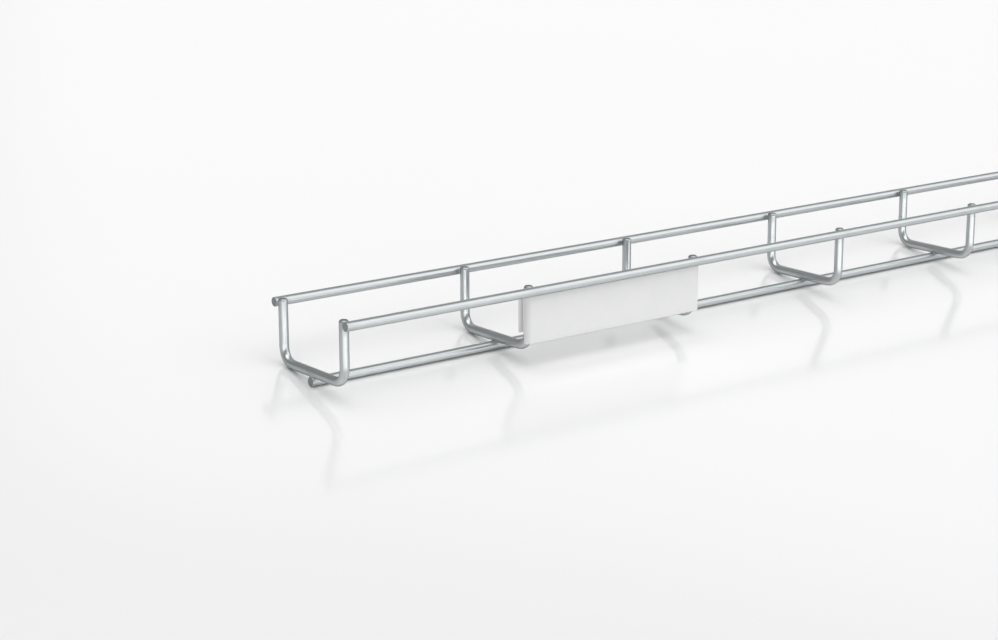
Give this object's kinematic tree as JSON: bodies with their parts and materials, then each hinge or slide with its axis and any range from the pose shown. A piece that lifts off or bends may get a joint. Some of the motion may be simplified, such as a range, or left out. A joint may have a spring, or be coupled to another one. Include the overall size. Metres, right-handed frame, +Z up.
{
  "type": "wire mesh cable basket",
  "caption": "Straight length of narrow welded wire cable basket: cross wires bent to a U, top rails outside them, a bottom wire, and a folded label sleeve.",
  "frame": {"origin": "centre of the bounding box's base, on the floor, half way along", "axes": "+X along the length, away from the end with the label; +Y level across the width, away from the side with the label; +Z up. The basket leans back from +Z by 11.6 degrees, as it comes to rest on its bottom wire, with the bends of its back side down on the floor"},
  "size_m": [1.5042, 0.061, 0.04],
  "materials": {
    "zinc_wire": "bright zinc-plated drawn wire, smooth, with dull weld spots",
    "label": "thin pale grey film label, bare"
  },
  "bodies": {
    "root": {"cross_wire_01": "zinc_wire", "cross_wire_02": "zinc_wire", "cross_wire_03": "zinc_wire", "cross_wire_04": "zinc_wire", "cross_wire_05": "zinc_wire", "cross_wire_06": "zinc_wire", "cross_wire_07": "zinc_wire", "cross_wire_08": "zinc_wire", "cross_wire_09": "zinc_wire", "cross_wire_10": "zinc_wire", "cross_wire_11": "zinc_wire", "cross_wire_12": "zinc_wire", "cross_wire_13": "zinc_wire", "cross_wire_14": "zinc_wire", "cross_wire_15": "zinc_wire", "cross_wire_16": "zinc_wire", "top_rail_front": "zinc_wire", "top_rail_back": "zinc_wire", "bottom_wire": "zinc_wire", "label_sleeve": "label"}
  },
  "joints": []
}
